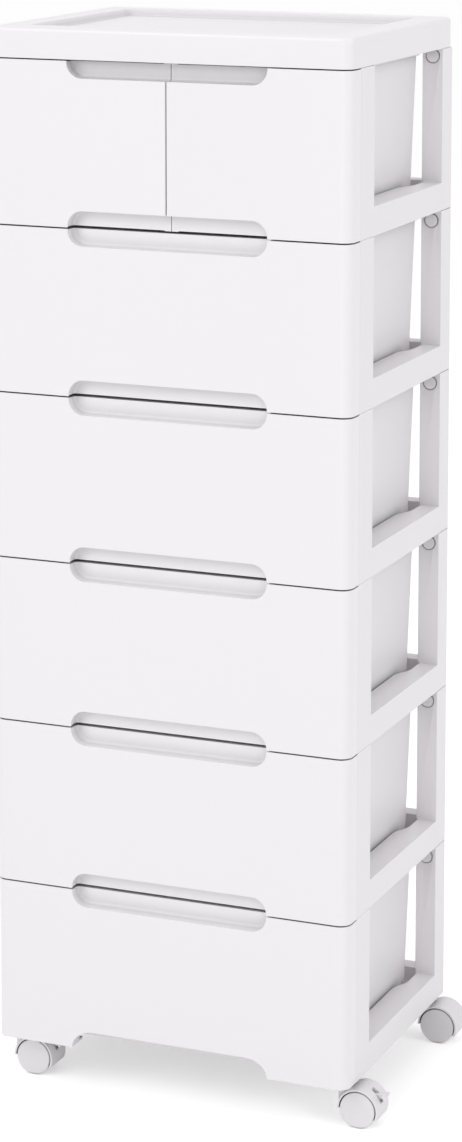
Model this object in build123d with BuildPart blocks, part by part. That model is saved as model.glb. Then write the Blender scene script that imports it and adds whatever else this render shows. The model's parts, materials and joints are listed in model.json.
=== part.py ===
from build123d import *
import os
from math import cos, radians, sin

# A plastic drawer tower on casters: six stacked tiers, two half-width drawers in the top tier
# and one full-width drawer in each of the others, under a tray-topped cover.
# Every tier is modelled on its own base plane z = 0, with the tower's middle plane at x = 0 and
# the drawer fronts facing -Y, and is then placed at its height. Millimetres.

# ---- overall sizes -------------------------------------------------------------------------
width = 380.0             # outside of one side frame to the outside of the other
depth = 292.0             # face of the drawer fronts to the back of the posts
tier_count = 6
tier_pitch = 167.0        # height that one tier adds to the stack
stack_foot = 45.0         # floor to the feet of the lowest frames
seam_gap = 0.8            # shadow line between two stacked frames
front_gap = 1.2           # line between two drawer fronts
fit = 0.3                 # clearance round a piece that is pushed into another

# ---- side frames ---------------------------------------------------------------------------
frame_wall = 2.5
rail_height = 28.7        # base plane to the flat top of the sill
sill_width = 29.0         # sill over most of its length
sill_width_rear = 20.0    # sill beside the rear post, after its S-curve
sill_bend_length = 34.0   # S-curve between the two widths
sill_bend_gap = 22.4      # end of the S-curve to the rear post
post_thickness = 21.6
front_post_depth = 37.3
rear_post_depth = 32.6
post_cap = 3.0            # top wall of a post
rear_corner_radius = 5.0
rail_floor = 2.4          # bottom wall of a rail under a post
runner_top = 8.0          # base plane to the ledge that the drawer slides on
runner_thickness = 3.0
runner_reach = 48.0       # outside face of the frame to the free edge of the ledge

# ---- joints between stacked frames ---------------------------------------------------------
seat_inset = 1.5          # edge of the post to the edge of the seat on it
spigot_width = 16.0       # across the post, along X
spigot_length = 18.0      # how far it reaches down into the post
spigot_wall = 2.2
spigot_front_length = 30.0
spigot_rear_length = 25.0
button_radius = 6.5
button_drop = 10.0        # seam to the middle of the button
button_proud = 0.9
shank_width = 8.0         # square shank behind the button's round head
shank_clearance = 0.1

# ---- cross rails ---------------------------------------------------------------------------
rear_rail_depth = 19.0
rear_rail_wall = 2.5
rear_tongue_depth = 5.2
rear_tongue_length = 11.0
front_rail_start = 31.0   # from the drawers' face
front_rail_depth = 25.0
front_rail_top = 7.7
front_rail_thickness = 3.2
front_rail_lip = 7.0      # how far its rear lip hangs below the plate
front_rail_lip_wall = 2.6
front_tongue_length = 7.5
guide_fin = 2.6           # fin between the two small drawers
guide_fin_height = 20.0
guide_flange = 34.0
guide_tongue = 6.0
guide_tab_length = 14.0
guide_tab_thickness = 2.6

# ---- cover ---------------------------------------------------------------------------------
cover_height = 27.5
cover_wall = 2.5
cover_corner_radius = 9.0
cover_edge_chamfer = 2.5
cover_front_drop = 2.4    # how far its front edge hangs below its sides
tray_rim = 31.0           # width of the raised border
tray_depth = 6.0
tray_corner_radius = 7.0
tray_chamfer = 1.5         # where the tray's floor meets its border
cover_foot_wall = 2.5
weld = 0.1                # overlap that joins two forms of one moulding

# ---- drawer fronts -------------------------------------------------------------------------
panel_depth = 24.5
panel_wall = 2.4
panel_corner_radius = 9.0
panel_inner_corner_radius = 1.5   # where the two small fronts meet
panel_edge_chamfer = 0.8
panel_gap = 0.8           # drawer front to the post behind it
recess_width = 210.0
recess_height = 35.0      # over both drawers
recess_depth = 13.5
recess_corner_radius = 16.0
recess_floor_chamfer = 4.0
arch_width = 212.0
arch_rise = 18.5
arch_corner_radius = 16.0
clip_width = 12.0
clip_height = 3.0
clip_barb = 1.5
clip_barb_length = 2.0
clip_inset = 25.0         # side of the tub to the middle of a clip
clip_heights = (52.0, 118.0)

# ---- drawer tubs ---------------------------------------------------------------------------
tub_wall = 2.0
tub_top = 160.0
tub_rise = 0.3            # running gap over the ledges
tub_side_gap = 2.0        # sill edge to the tub's side at its foot
tub_side_draft = 4.8      # how much each side leans out from foot to top
tub_rear_gap = 35.0       # rear of the tub at its foot to the back of the posts
tub_rear_draft = 8.0
tub_rear_radius = 14.0
tub_front_radius = 8.0
tub_foot_chamfer = 3.0
tub_rim = 2.8
tub_rim_thickness = 2.5
tub_middle_gap = 2.2      # fin of the guide to the side of a small tub
stop_drop = 3.5           # how far the stop lugs reach below the tub
stop_width = 20.0
stop_thickness = 3.0
stop_side = 40.0          # side of the tub to the middle of a lug
stop_inset = 9.0          # rear of the tub to the middle of a lug
stop_clearance = 0.5      # lug to front rail when the drawer is fully out

# ---- casters -------------------------------------------------------------------------------
wheel_radius = 18.5
wheel_gap = 0.5           # hood's web to wheel
wheel_face = 2.4          # thickness of plastic over the end of the axle
hood_gap = 0.9            # wheel to the inside of the hood
hood_wall = 1.7
hood_width = 32.4
hood_web = 9.6
hood_start = -25.0        # angles that the hood covers, from +X round over the top
hood_end = 180.0
caster_inset = 13.4       # outside of the side frame to the swivel axis
caster_front = 38.0       # drawers' face to the front swivel axis
caster_trail = 16.1       # swivel axis to the wheels' axle
neck_width = 14.0         # square neck round the stem
stem_radius = 3.5
stem_clearance = 0.05     # running fit
stem_bottom = 25.0        # floor to the lower end of the stem
stem_grip = 20.0          # length of the stem inside the frame
stem_gap = 0.3            # frame to the top of the neck, and stem to the end of its bore
socket_wall = 3.0
socket_cap = 2.0
axle_radius = 2.5
axle_clearance = 0.05
axle_end = 3.0            # outer face of the wheel to the end of the axle
lever_pivot_x = 13.6      # axle to the brake lever's pivot
lever_pivot_z = 10.6
lever_pin_radius = 1.5
lever_pin_clearance = 0.05
lever_width = 6.4
lever_slot = 7.2
lever_slot_behind = 1.0   # play behind the lever's hub
lever_slot_below = 2.0    # play below it, for the pressed lever
lever_tip_x = 26.8        # axle to the tip of the lever
lever_tip_z = 14.6
lever_paddle_width = 13.0
lever_paddle_length = 5.0
lever_thickness = 3.2
lever_hub_radius = 3.0

# ---- worked out from the sizes above -------------------------------------------------------
half = width / 2
y_face = -depth / 2
y_back = depth / 2
y_panel_back = y_face + panel_depth
front_post = (y_panel_back + panel_gap, y_panel_back + panel_gap + front_post_depth)
rear_post = (y_back - rear_post_depth, y_back)
sill_bend = (rear_post[0] - sill_bend_gap - sill_bend_length, rear_post[0] - sill_bend_gap)
runner_low = runner_top - runner_thickness
rail_floor_top = seam_gap + rail_floor
front_rail_rear = y_face + front_rail_start + front_rail_depth
front_rail_low = front_rail_top - front_rail_thickness
tub_low = runner_top + tub_rise
tub_side = half - sill_width - tub_side_gap
tub_front = y_face + recess_depth + panel_wall + fit
tub_rear = y_back - tub_rear_gap
stop_y = tub_rear - stop_inset
drawer_travel = stop_y - stop_thickness / 2 - front_rail_rear - stop_clearance
axle_z = wheel_radius
hood_inner = wheel_radius + hood_gap
hood_outer = hood_inner + hood_wall
caster_y = (y_face + caster_front, y_back - rear_post_depth / 2)
caster_x = half - caster_inset
neck_top = stack_foot - stem_gap
# The levers reach past the right side, so the tower's middle plane lies left of the origin.
overhang = caster_x + caster_trail + lever_tip_x - half
mid_x = -overhang / 2


def tier_base(tier):
    """Height of a tier's base plane. Tier 1 is the top one."""
    return stack_foot + (tier_count - tier) * tier_pitch


def block(x_ends, y_ends, z_ends, mode=Mode.ADD):
    """A straight-sided block between pairs of ends, in the part that is being built."""
    with BuildSketch(Plane.XY.offset(min(z_ends))) as plan:
        with Locations((sum(x_ends) / 2, sum(y_ends) / 2)):
            Rectangle(abs(x_ends[1] - x_ends[0]), abs(y_ends[1] - y_ends[0]))
    extrude(plan.sketch, amount=abs(z_ends[1] - z_ends[0]), mode=mode)


def save(part, name, x=mid_x, y=0.0, z=0.0):
    """Places a finished piece, labels it and writes its file."""
    piece = part.moved(Location((x, y, z)))
    piece.label = name
    export_step(piece, f"parts/{name}.step")


# ---- side frames ---------------------------------------------------------------------------
def rail_outline():
    """Plan of the right-hand rail, with the S-curve on its inner edge."""
    sill_x = half - sill_width
    rear_x = half - sill_width_rear
    middle = ((sill_x + rear_x) / 2, sum(sill_bend) / 2)
    with BuildSketch(mode=Mode.PRIVATE) as outline:
        with BuildLine():
            Polyline((sill_x, sill_bend[0]), (sill_x, front_post[0]), (half, front_post[0]),
                     (half, y_back), (rear_x, y_back), (rear_x, sill_bend[1]))
            leaving = TangentArc((sill_x, sill_bend[0]), middle, tangent=(0, 1))
            TangentArc(middle, (rear_x, sill_bend[1]), tangent=leaving % 1)
        make_face()
    return outline.sketch


def spigot_ends(post, from_front):
    """Ends along Y of the spigot in a post. It stands against the wall beside the window."""
    if from_front:
        high = post[1] - frame_wall - fit
        return (high - spigot_front_length, high)
    low = post[0] + frame_wall + fit
    return (low, low + spigot_rear_length)


spigot_x = (half - frame_wall - fit - spigot_width, half - frame_wall - fit)
posts = ((front_post, True), (rear_post, False))
shank_reach = shank_width / 2 + shank_clearance
shank_x = (sum(spigot_x) / 2 - shank_reach, sum(spigot_x) / 2 + shank_reach)
shank_z = (-button_drop - shank_reach, -button_drop + shank_reach)


def seat_and_spigot(post, from_front, with_spigot=True):
    """Seat that carries the piece on the post below, and the spigot that locates it."""
    block((half - post_thickness + seat_inset, half - seat_inset),
          (post[0] + seat_inset, post[1] - seat_inset), (0, seam_gap))
    if with_spigot:
        y_ends = spigot_ends(post, from_front)
        block(spigot_x, y_ends, (-spigot_length, 0))
        block((spigot_x[0] + spigot_wall, spigot_x[1] - spigot_wall),
              (y_ends[0] + spigot_wall, y_ends[1] - spigot_wall), (-spigot_length, 0), Mode.SUBTRACT)
        if not from_front:
            block(shank_x, (y_ends[0], y_ends[0] + spigot_wall), shank_z, Mode.SUBTRACT)


def side_frame(lowest):
    """Right-hand side frame: rail with sill and runner, two posts, and what joins it below."""
    outline = rail_outline()
    with BuildPart() as frame:
        with BuildSketch(Plane.XY.offset(seam_gap)):
            add(outline)
        extrude(amount=rail_height - seam_gap)
        for post, from_front in posts:
            block((half - post_thickness, half), post, (rail_height, tier_pitch))
        rear_edges = frame.edges().filter_by(Axis.Z).filter_by_position(Axis.X, half, half)
        fillet(rear_edges.group_by(Axis.Y)[-1], rear_corner_radius)
        # The rail is an upturned trough between the posts.
        with BuildSketch(Plane.XY.offset(seam_gap)) as trough:
            add(outline)
            offset(amount=-frame_wall, kind=Kind.INTERSECTION, mode=Mode.REPLACE)
            with Locations((0, (front_post[1] + rear_post[0]) / 2)):
                Rectangle(2 * width, rear_post[0] - front_post[1], mode=Mode.INTERSECT)
        extrude(amount=rail_height - frame_wall - seam_gap, mode=Mode.SUBTRACT)
        with BuildSketch(Plane.XY.offset(runner_low)):
            with Locations((half - (runner_reach + sill_width_rear) / 2 + frame_wall / 2,
                            (front_rail_rear + fit + rear_post[0]) / 2)):
                Rectangle(runner_reach - sill_width_rear + frame_wall,
                          rear_post[0] - front_rail_rear - fit)
            add(trough.sketch.moved(Location((0, 0, -seam_gap))), mode=Mode.SUBTRACT)
        extrude(amount=runner_thickness)
        # Posts and rail ends are channels, open towards the drawers.
        for post, from_front in posts:
            inside = (post[0] + frame_wall, post[1] - frame_wall)
            channel = (half - sill_width - weld, half - frame_wall)
            block(channel, inside, (rail_floor_top, rail_height - frame_wall), Mode.SUBTRACT)
            block(channel, inside, (rail_height, tier_pitch - post_cap), Mode.SUBTRACT)
            y_ends = spigot_ends(post, from_front)
            block((spigot_x[0] - fit, spigot_x[1] + fit), (y_ends[0] - fit, y_ends[1] + fit),
                  (tier_pitch - post_cap, tier_pitch), Mode.SUBTRACT)
            seat_and_spigot(post, from_front, with_spigot=not lowest)
        block(shank_x, (rear_post[0], rear_post[0] + frame_wall),
              (tier_pitch + shank_z[0], tier_pitch + shank_z[1]), Mode.SUBTRACT)
        if lowest:
            sockets = [(caster_x, y) for y in caster_y]
            boss = 2 * (stem_radius + socket_wall)
            with BuildSketch(Plane.XY.offset(rail_floor_top)):
                with Locations(*sockets):
                    Rectangle(boss, boss)
            extrude(amount=stem_grip + socket_cap - rail_floor_top)
            with BuildSketch():
                with Locations(*sockets):
                    Circle(stem_radius + stem_clearance)
            extrude(amount=stem_grip, mode=Mode.SUBTRACT)
    return frame.part


# ---- cross rails and the guide between the small drawers -----------------------------------
def rear_rail():
    """Upturned channel across the back, with a flat tongue in each rail end."""
    reach = half - sill_width_rear - fit
    low, high = y_back - rear_rail_depth, y_back - fit
    tongue_low = rear_post[0] + frame_wall + fit
    with BuildPart() as rail:
        with BuildSketch(Plane.YZ.offset(-reach)):
            with BuildLine():
                Polyline((low, seam_gap), (low, rail_height), (high, rail_height), (high, seam_gap),
                         (high - rear_rail_wall, seam_gap),
                         (high - rear_rail_wall, rail_height - rear_rail_wall),
                         (low + rear_rail_wall, rail_height - rear_rail_wall),
                         (low + rear_rail_wall, seam_gap), close=True)
            make_face()
        extrude(amount=2 * reach)
        for side in (-1, 1):
            block((side * (reach - frame_wall), side * (reach + rear_tongue_length)),
                  (tongue_low, tongue_low + rear_tongue_depth),
                  (rail_floor_top + fit, rail_height - frame_wall - fit))
            block((side * (reach - frame_wall), side * reach),
                  (tongue_low, high), (rail_floor_top + fit, rail_height - frame_wall - fit))
    return rail.part


def slotted_rear_rail(plain):
    """Rear rail of the top tier, with the slot that holds the guide's tongue."""
    low = y_back - rear_rail_depth
    with BuildPart() as rail:
        add(plain)
        block((-guide_flange / 2 - fit, guide_flange / 2 + fit), (low, low + rear_rail_wall),
              (runner_low - fit, runner_top + fit), Mode.SUBTRACT)
    return rail.part


def front_rail():
    """Flat bar behind the drawer fronts, with a hanging lip along its rear edge."""
    reach = half - sill_width - fit
    front = y_face + front_rail_start
    lip = front_rail_rear - front_rail_lip_wall
    with BuildPart() as rail:
        with BuildSketch(Plane.YZ.offset(-reach)):
            with BuildLine():
                Polyline((front, front_rail_top), (front_rail_rear, front_rail_top),
                         (front_rail_rear, front_rail_low - front_rail_lip),
                         (lip, front_rail_low - front_rail_lip), (lip, front_rail_low),
                         (front, front_rail_low), close=True)
            make_face()
        extrude(amount=2 * reach)
        for side in (-1, 1):
            block((side * reach, side * (reach + front_tongue_length)), (front, front_rail_rear),
                  (front_rail_low, front_rail_top))
    return rail.part


def slotted_front_rail(plain):
    """Front rail of the top tier, with the slot in its lip for the guide's tab."""
    with BuildPart() as rail:
        add(plain)
        block((-guide_flange / 2 - fit, guide_flange / 2 + fit),
              (front_rail_rear - front_rail_lip_wall, front_rail_rear),
              (front_rail_low - 2 * fit - guide_tab_thickness, front_rail_low), Mode.SUBTRACT)
    return rail.part


def centre_guide():
    """Runner for the inner sides of the two small drawers, with a fin between them."""
    front = front_rail_rear + fit
    rear = y_back - rear_rail_depth - fit
    tab_top = front_rail_low - fit
    with BuildPart() as guide:
        block((-guide_flange / 2, guide_flange / 2), (front, rear + guide_tongue),
              (runner_low, runner_top))
        with BuildSketch(Plane.YZ.offset(-guide_fin / 2)):
            with BuildLine():
                Polyline((front, runner_top), (front + guide_fin_height, guide_fin_height),
                         (rear - guide_fin_height, guide_fin_height), (rear, runner_top),
                         close=True)
            make_face()
        extrude(amount=guide_fin)
        # A tab reaches through the lip and under the plate of the front rail.
        block((-guide_flange / 2, guide_flange / 2),
              (front - guide_tab_length, front + guide_tab_length),
              (tab_top - guide_tab_thickness, tab_top))
        block((-guide_flange / 2, guide_flange / 2), (front, front + guide_tab_length),
              (tab_top, runner_low))
    return guide.part


def snap_buttons():
    """Round-headed clips, each through a rear post into the spigot that stands in it."""
    heads = [(side * sum(spigot_x) / 2, tier_base(tier) + tier_pitch - button_drop)
             for side in (-1, 1) for tier in range(1, tier_count + 1)]
    with BuildPart() as buttons:
        with BuildSketch(Plane.XZ.offset(-rear_post[0])):
            with Locations(*heads):
                Circle(button_radius)
        extrude(amount=button_proud)
        with BuildSketch(Plane.XZ.offset(-rear_post[0])):
            with Locations(*heads):
                Rectangle(shank_width, shank_width)
        extrude(amount=-(frame_wall + fit + spigot_wall))
    return buttons.part


# ---- cover ---------------------------------------------------------------------------------
def top_cover():
    """Tray-topped cover with a hollow border, standing on the posts of the top tier."""
    inner_top = cover_height - tray_depth - cover_wall
    border_top = cover_height - cover_wall
    with BuildPart() as cover:
        with BuildSketch(Plane.XY.offset(seam_gap)):
            RectangleRounded(width, depth, cover_corner_radius)
        extrude(amount=cover_height - seam_gap)
        chamfer(cover.faces().sort_by(Axis.Z)[-1].outer_wire().edges(), cover_edge_chamfer)
        # The front edge hangs lower, level with the top of the fronts.
        with BuildSketch(Plane.XY.offset(-cover_front_drop)):
            RectangleRounded(width, depth, cover_corner_radius)
            with Locations((0, (y_panel_back + y_back) / 2)):
                Rectangle(width, y_back - y_panel_back, mode=Mode.SUBTRACT)
        extrude(amount=cover_front_drop + seam_gap)
        with BuildSketch(Plane.XY.offset(cover_height - tray_depth)) as tray:
            RectangleRounded(width - 2 * tray_rim, depth - 2 * tray_rim, tray_corner_radius)
        extrude(amount=tray_depth, mode=Mode.SUBTRACT)
        tray_floor = cover.faces().filter_by(Plane.XY).filter_by_position(
            Axis.Z, cover_height - tray_depth, cover_height - tray_depth)
        chamfer(tray_floor.edges(), tray_chamfer)
        # Underside: open below, and hollow up into the border.
        with BuildSketch(Plane.XY.offset(-cover_front_drop)):
            RectangleRounded(width - 2 * cover_wall, depth - 2 * cover_wall,
                             cover_corner_radius - cover_wall)
        extrude(amount=cover_front_drop + inner_top, mode=Mode.SUBTRACT)
        with BuildSketch(Plane.XY.offset(inner_top)):
            RectangleRounded(width - 2 * cover_wall, depth - 2 * cover_wall,
                             cover_corner_radius - cover_wall)
            Rectangle(width - 2 * tray_rim + 2 * cover_wall, depth - 2 * tray_rim + 2 * cover_wall,
                      mode=Mode.SUBTRACT)
        extrude(amount=border_top - inner_top, mode=Mode.SUBTRACT)
        # Feet over the posts, open towards the inside.
        for post, from_front in posts:
            for side in (-1, 1):
                block((side * (half - post_thickness), side * (half - cover_wall)), post,
                      (seam_gap, border_top))
                block((side * (half - post_thickness - weld), side * (half - cover_wall - weld)),
                      (post[0] + cover_foot_wall, post[1] - cover_foot_wall),
                      (rail_floor_top, border_top), Mode.SUBTRACT)
    with BuildPart() as footing:
        for post, from_front in posts:
            seat_and_spigot(post, from_front)
        mirror(about=Plane.YZ)
    with BuildPart() as whole:
        add(cover.part)
        add(footing.part)
    return whole.part


# ---- drawer fronts -------------------------------------------------------------------------
def recess_form(grow):
    """Finger recess as a solid about its seam, grown all round by an amount."""
    with BuildPart() as form:
        with BuildSketch(Plane.XZ.offset(-y_face)):
            RectangleRounded(recess_width + 2 * grow, recess_height + 2 * grow,
                             recess_corner_radius + grow)
        extrude(amount=-(recess_depth + grow))
        chamfer(form.faces().sort_by(Axis.Y)[-1].edges(), recess_floor_chamfer + grow / 2)
    return form.part


def drawer_front(x_ends, low, high, seams, clips_x, arch=False):
    """Hollow moulded front, open at the back, with its share of the finger recesses."""
    inner = panel_inner_corner_radius
    with BuildPart() as front:
        with BuildSketch(Plane.XY.offset(low)):
            with Locations((sum(x_ends) / 2, y_face + panel_depth / 2)):
                outline = Rectangle(x_ends[1] - x_ends[0], panel_depth)
            for corner in outline.vertices().group_by(Axis.Y)[0]:
                at_side = abs(abs(corner.X) - half) < panel_corner_radius
                fillet(corner, panel_corner_radius if at_side else inner)
        extrude(amount=high - low)
        rims = front.edges().group_by(Axis.Z)
        eased = [edge for rim in (rims[0], rims[-1]) for edge in rim
                 if edge.center().Y < y_panel_back - panel_wall]
        chamfer(eased, panel_edge_chamfer)
        with BuildSketch(Plane.XY.offset(low + panel_wall)):
            with Locations((sum(x_ends) / 2, y_face + (panel_depth + panel_wall) / 2)):
                cavity = Rectangle(x_ends[1] - x_ends[0] - 2 * panel_wall, panel_depth - panel_wall)
            for corner in cavity.vertices().group_by(Axis.Y)[0]:
                at_side = abs(abs(corner.X) - half) < panel_corner_radius
                if at_side:
                    fillet(corner, panel_corner_radius - panel_wall)
        extrude(amount=high - low - 2 * panel_wall, mode=Mode.SUBTRACT)
    with BuildPart() as lining:
        for seam in seams:
            add(recess_form(panel_wall).moved(Location((0, 0, seam))))
        if arch:
            with BuildSketch(Plane.XZ.offset(-y_face)):
                RectangleRounded(arch_width + 2 * panel_wall, 2 * (arch_rise + panel_wall),
                                 arch_corner_radius + panel_wall)
            extrude(amount=-(recess_depth + panel_wall))
        block(x_ends, (y_face + panel_wall, y_panel_back), (low, high), Mode.INTERSECT)
    with BuildPart() as whole:
        add(front.part)
        add(lining.part)
        for seam in seams:
            add(recess_form(0).moved(Location((0, 0, seam))), mode=Mode.SUBTRACT)
        if arch:
            with BuildSketch(Plane.XZ.offset(-y_face)):
                RectangleRounded(arch_width, 2 * arch_rise, arch_corner_radius)
            extrude(amount=-panel_depth, mode=Mode.SUBTRACT)
        # Clips that hook behind the tub's front wall.
        hook = tub_front + tub_wall
        for x in clips_x:
            for z in clip_heights:
                x_clip = (x - clip_width / 2, x + clip_width / 2)
                block(x_clip, (y_face + panel_wall, hook + clip_barb_length), (z, z + clip_height))
                block(x_clip, (hook, hook + clip_barb_length), (z - clip_barb, z))
    return whole.part


# ---- drawer tubs ---------------------------------------------------------------------------
def tub_ends(x_foot, x_lean, share):
    """Ends along X at a share of the tub's height, where 0 is its foot."""
    return (x_foot[0] - x_lean[0] * share, x_foot[1] + x_lean[1] * share)


def tub_form(x_foot, x_lean, inset):
    """Drafted solid with rounded corners: the outside of the tub, or its inside."""
    low, front = tub_low + inset, tub_front + inset
    low_share = inset / (tub_top - tub_low)
    x_low, x_top = (tub_ends(x_foot, x_lean, share) for share in (low_share, 1))
    rear_top = tub_rear + tub_rear_draft - inset
    rear_low = rear_top - tub_rear_draft * (1 - low_share)
    with BuildPart() as form:
        with BuildSketch(Plane.XZ.offset(-front)):
            with BuildLine():
                Polyline((x_low[0] + inset, low), (x_low[1] - inset, low), (x_top[1] - inset, tub_top),
                         (x_top[0] + inset, tub_top), close=True)
            make_face()
        extrude(amount=-(rear_top - front))
        with BuildSketch(Plane.YZ.offset(x_top[0])):
            with BuildLine():
                Polyline((front, low), (rear_low, low), (rear_top, tub_top), (front, tub_top),
                         close=True)
            make_face()
        extrude(amount=x_top[1] - x_top[0], mode=Mode.INTERSECT)
        upright = form.edges().filter_by(lambda edge: abs(edge.tangent_at(0.5).Z) > 0.5)
        corners = upright.group_by(Axis.Y)
        fillet(corners[0], tub_front_radius - inset)
        fillet(corners[-1], tub_rear_radius - inset)
        chamfer(form.faces().sort_by(Axis.Z)[0].edges(), tub_foot_chamfer - inset / 2)
    return form.part


def drawer_tub(x_foot, x_lean, clips_x):
    """Drafted open box with a rolled rim, clip slots in front and stop lugs below."""
    with BuildPart() as tub:
        add(tub_form(x_foot, x_lean, 0))
        top_ends = tub_ends(x_foot, x_lean, 1)
        # The rim starts behind the hollow front.
        rim_front = y_panel_back + fit
        rim_rear = tub_rear + tub_rear_draft + tub_rim
        with BuildSketch(Plane.XY.offset(tub_top - tub_rim_thickness)):
            with Locations((sum(top_ends) / 2, (rim_front + rim_rear) / 2)):
                rim = Rectangle(top_ends[1] - top_ends[0] + 2 * tub_rim, rim_rear - rim_front)
            fillet(rim.vertices().group_by(Axis.Y)[-1], tub_rear_radius + tub_rim)
        extrude(amount=tub_rim_thickness)
        add(tub_form(x_foot, x_lean, tub_wall), mode=Mode.SUBTRACT)
        for x in clips_x:
            for z in clip_heights:
                block((x - clip_width / 2 - fit, x + clip_width / 2 + fit),
                      (tub_front, tub_front + tub_wall),
                      (z, z + clip_height + clip_barb + fit), Mode.SUBTRACT)
        for x in (x_foot[0] + stop_side, x_foot[1] - stop_side):
            block((x - stop_width / 2, x + stop_width / 2),
                  (stop_y - stop_thickness / 2, stop_y + stop_thickness / 2),
                  (tub_low - stop_drop, tub_low + tub_wall))
    return tub.part


# ---- casters -------------------------------------------------------------------------------
def ring_point(radius, angle):
    """Point on a circle about the axle, in the caster's side view."""
    return (caster_trail + radius * cos(radians(angle)), axle_z + radius * sin(radians(angle)))


def caster_hood(braked):
    """Hood over the twin wheels, with the middle web, the neck and, if braked, a lever slot."""
    middle_angle = (hood_start + hood_end) / 2
    wheel_side = hood_web / 2 + wheel_gap
    with BuildPart() as hood:
        with BuildSketch(Plane.XZ.offset(-hood_width / 2)):
            with BuildLine():
                ThreePointArc(ring_point(hood_outer, hood_start),
                              ring_point(hood_outer, middle_angle),
                              ring_point(hood_outer, hood_end))
                Line(ring_point(hood_outer, hood_end), ring_point(hood_outer, hood_start))
            make_face()
        extrude(amount=hood_width)
        with BuildSketch(Plane.XY.offset(axle_z)):
            Rectangle(neck_width, neck_width)
        extrude(amount=neck_top - axle_z)
        # Room for the wheels, on both sides of the web.
        with BuildSketch(Plane.XZ.offset(-hood_width / 2)):
            with Locations((caster_trail, axle_z)):
                Circle(hood_inner)
        extrude(amount=(hood_width - hood_web) / 2, mode=Mode.SUBTRACT)
        with BuildSketch(Plane.XZ.offset(hood_width / 2)):
            with Locations((caster_trail, axle_z)):
                Circle(hood_inner)
        extrude(amount=-(hood_width - hood_web) / 2, mode=Mode.SUBTRACT)
        with BuildSketch(Plane.XZ.offset(-hood_width / 2)):
            with Locations((caster_trail, axle_z)):
                Circle(axle_radius)
        extrude(amount=hood_width, mode=Mode.SUBTRACT)
        with BuildSketch(Plane.XY.offset(stem_bottom - stem_gap)):
            Circle(stem_radius + stem_clearance)
        extrude(amount=neck_top, mode=Mode.SUBTRACT)
        if braked:
            pivot = (caster_trail + lever_pivot_x, axle_z + lever_pivot_z)
            block((pivot[0] - lever_hub_radius - lever_slot_behind, pivot[0] + hood_outer),
                  (-lever_slot / 2, lever_slot / 2),
                  (pivot[1] - lever_hub_radius - lever_slot_below, pivot[1] + hood_outer),
                  Mode.SUBTRACT)
            with BuildSketch(Plane.XZ.offset(-hood_web / 2)):
                with Locations(pivot):
                    Circle(lever_pin_radius + lever_pin_clearance)
            extrude(amount=hood_web, mode=Mode.SUBTRACT)
    return hood.part


def caster_axle():
    """Pin through the web that carries both wheels."""
    with BuildPart() as axle:
        with BuildSketch(Plane.XZ.offset(-(hood_width / 2 - axle_end))):
            with Locations((caster_trail, axle_z)):
                Circle(axle_radius)
        extrude(amount=hood_width - 2 * axle_end)
    return axle.part


def caster_wheel():
    """Wheel on the -Y side, with a closed outer face over the end of the axle."""
    face = hood_width / 2
    inner = hood_web / 2 + wheel_gap
    with BuildPart() as wheel:
        with BuildSketch(Plane.XZ.offset(face)):
            with Locations((caster_trail, axle_z)):
                Circle(wheel_radius)
        extrude(amount=-(face - inner))
        with BuildSketch(Plane.XZ.offset(inner)):
            with Locations((caster_trail, axle_z)):
                Circle(axle_radius + axle_clearance)
        extrude(amount=face - inner - wheel_face, mode=Mode.SUBTRACT)
    return wheel.part


def caster_stems():
    """The four swivel stems, pressed up into the lowest frames."""
    stands = [(side * caster_x, y) for side in (-1, 1) for y in caster_y]
    with BuildPart() as stems:
        with BuildSketch(Plane.XY.offset(stem_bottom)):
            with Locations(*stands):
                Circle(stem_radius)
        extrude(amount=stack_foot + stem_grip - stem_bottom)
    return stems.part


def brake_lever():
    """Foot lever on a cross pin, with the paddle outside the hood."""
    pivot = (caster_trail + lever_pivot_x, axle_z + lever_pivot_z)
    tip = (caster_trail + lever_tip_x, axle_z + lever_tip_z)
    with BuildPart() as lever:
        with BuildSketch(Plane.XZ.offset(-lever_width / 2)):
            with Locations(pivot):
                Circle(lever_hub_radius)
            with BuildLine():
                Polyline((pivot[0], pivot[1] + lever_hub_radius),
                         (tip[0] - lever_paddle_length, tip[1]), tip,
                         (tip[0] - lever_thickness, tip[1] - lever_thickness),
                         (pivot[0], pivot[1] - lever_hub_radius), close=True)
            make_face()
        extrude(amount=lever_width)
        with BuildSketch(Plane.XZ.offset(-lever_paddle_width / 2)):
            with BuildLine():
                Polyline((tip[0] - lever_paddle_length, tip[1]), tip,
                         (tip[0] - lever_paddle_length / 2, tip[1] - lever_paddle_length),
                         close=True)
            make_face()
        extrude(amount=lever_paddle_width)
        with BuildSketch(Plane.XZ.offset(-hood_web / 2)):
            with Locations(pivot):
                Circle(lever_pin_radius)
        extrude(amount=hood_web)
    return lever.part


# ---- build and write every piece -----------------------------------------------------------
os.makedirs("parts", exist_ok=True)

upper_frame = side_frame(lowest=False)
lowest_frame = side_frame(lowest=True)
plain_rear_rail = rear_rail()
plain_front_rail = front_rail()
top_rear_rail = slotted_rear_rail(plain_rear_rail)
top_front_rail = slotted_front_rail(plain_front_rail)
for tier in range(1, tier_count + 1):
    frame = lowest_frame if tier == tier_count else upper_frame
    save(frame, f"side_frame_right_{tier}", z=tier_base(tier))
    save(frame.mirror(Plane.YZ), f"side_frame_left_{tier}", z=tier_base(tier))
    save(top_rear_rail if tier == 1 else plain_rear_rail, f"rear_rail_{tier}", z=tier_base(tier))
    save(top_front_rail if tier == 1 else plain_front_rail, f"front_rail_{tier}",
         z=tier_base(tier))
save(centre_guide(), "drawer_guide", z=tier_base(1))
save(snap_buttons(), "snap_buttons")
save(top_cover(), "top_cover", z=tier_base(0))

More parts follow.
